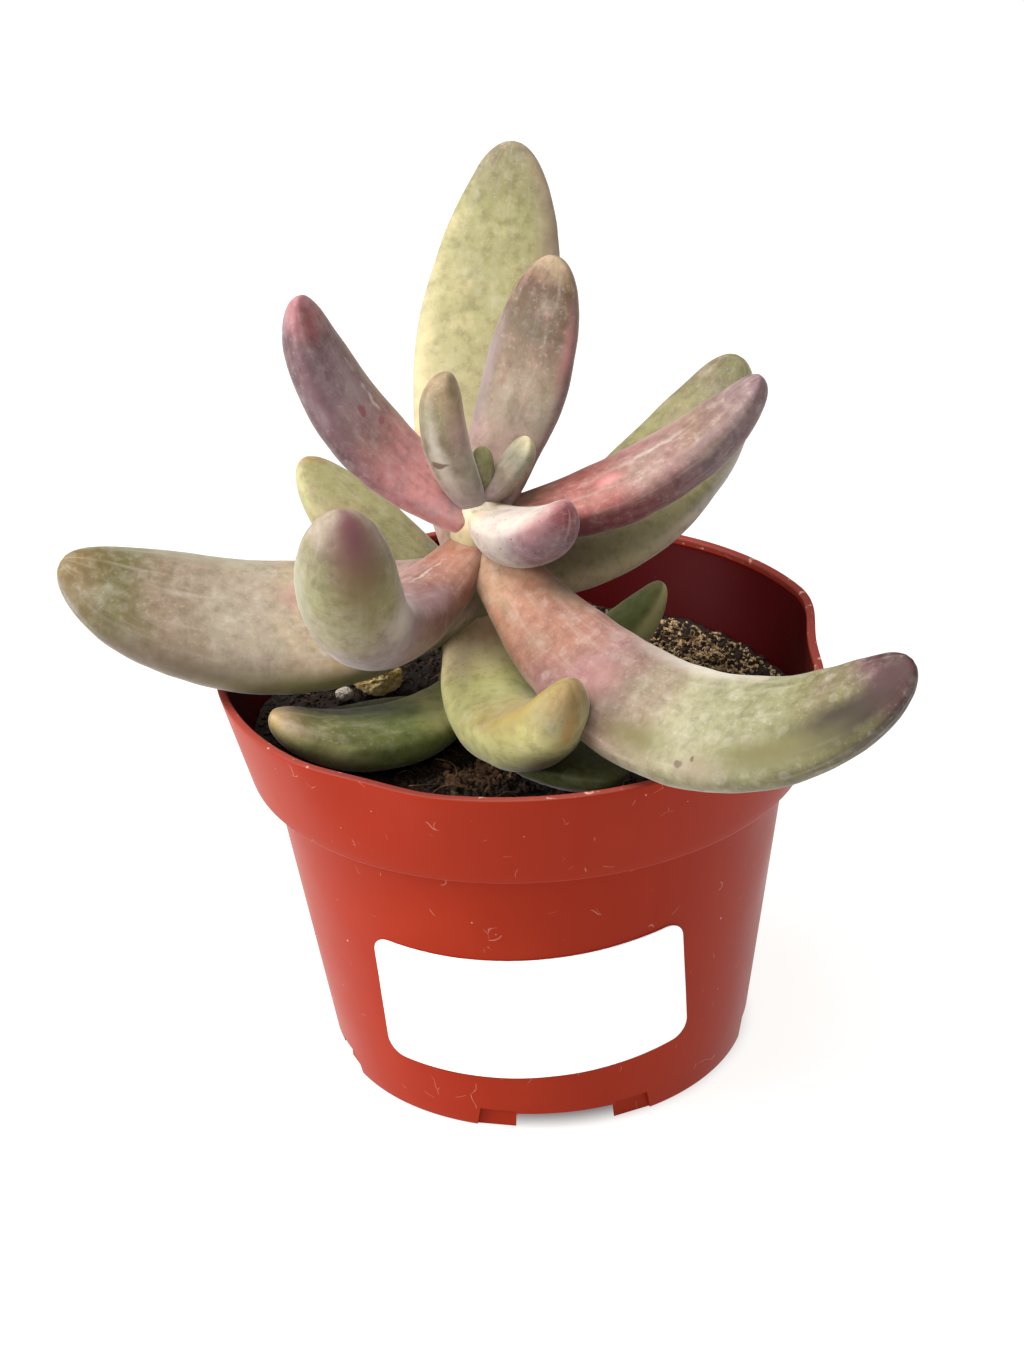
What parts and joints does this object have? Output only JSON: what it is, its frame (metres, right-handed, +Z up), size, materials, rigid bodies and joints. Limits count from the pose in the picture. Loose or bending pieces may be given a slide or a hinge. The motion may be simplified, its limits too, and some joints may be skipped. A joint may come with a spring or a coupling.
{
  "type": "potted pachysedum",
  "caption": "Potted pachysedum: fleshy grey-green and pink leaves on a short stem, in a terracotta-coloured nursery pot of soil with a blank label.",
  "frame": {"origin": "on the plane the pot stands on, under the middle of the whole outline", "axes": "+Z up along the pot, +X to the right and +Y to the back as seen from the side with the label"},
  "size_m": [0.1315, 0.1196, 0.1486],
  "materials": {
    "pot": "satin terracotta-coloured plastic",
    "soil": "damp dark peat with fine grains",
    "stem": "smooth olive stem",
    "leaf_back_tall": "waxy grey-green leaf with a powdery bloom",
    "leaf_back_inner": "waxy pink and lilac leaf with a powdery bloom",
    "leaf_left_upper": "waxy pink and lilac leaf with a powdery bloom",
    "leaf_young_upright": "waxy grey-green leaf with a powdery bloom",
    "leaf_young_small": "waxy grey-green leaf with a powdery bloom",
    "leaf_bud": "waxy dark green leaf",
    "leaf_front_cup": "waxy pink and lilac leaf with a powdery bloom",
    "leaf_right_upper": "waxy pink and lilac leaf with a powdery bloom",
    "leaf_right_behind": "waxy grey-green leaf with a powdery bloom",
    "leaf_left_behind": "waxy grey-green leaf with a powdery bloom",
    "leaf_front_hook": "waxy pink and lilac leaf with a powdery bloom",
    "leaf_left_long": "waxy grey-green leaf with a powdery bloom",
    "leaf_right_long": "waxy pink and lilac leaf with a powdery bloom",
    "leaf_front_curled": "waxy grey-green leaf with a powdery bloom",
    "leaf_low_left": "waxy dark green leaf",
    "leaf_low_front": "waxy dark green leaf",
    "leaf_low_right": "waxy dark green leaf",
    "leaf_low_hidden": "waxy dark green leaf",
    "label": "plain matt white paper",
    "stone": "rough yellow stone",
    "perlite_grain": "rough white grain"
  },
  "bodies": {
    "root": {"pot": "pot", "soil": "soil", "stem": "stem", "leaf_back_tall": "leaf_back_tall", "leaf_back_inner": "leaf_back_inner", "leaf_left_upper": "leaf_left_upper", "leaf_young_upright": "leaf_young_upright", "leaf_young_small": "leaf_young_small", "leaf_bud": "leaf_bud", "leaf_front_cup": "leaf_front_cup", "leaf_right_upper": "leaf_right_upper", "leaf_right_behind": "leaf_right_behind", "leaf_left_behind": "leaf_left_behind", "leaf_front_hook": "leaf_front_hook", "leaf_left_long": "leaf_left_long", "leaf_right_long": "leaf_right_long", "leaf_front_curled": "leaf_front_curled", "leaf_low_left": "leaf_low_left", "leaf_low_front": "leaf_low_front", "leaf_low_right": "leaf_low_right", "leaf_low_hidden": "leaf_low_hidden", "label": "label", "stone": "stone", "perlite_grain": "perlite_grain"}
  },
  "joints": []
}
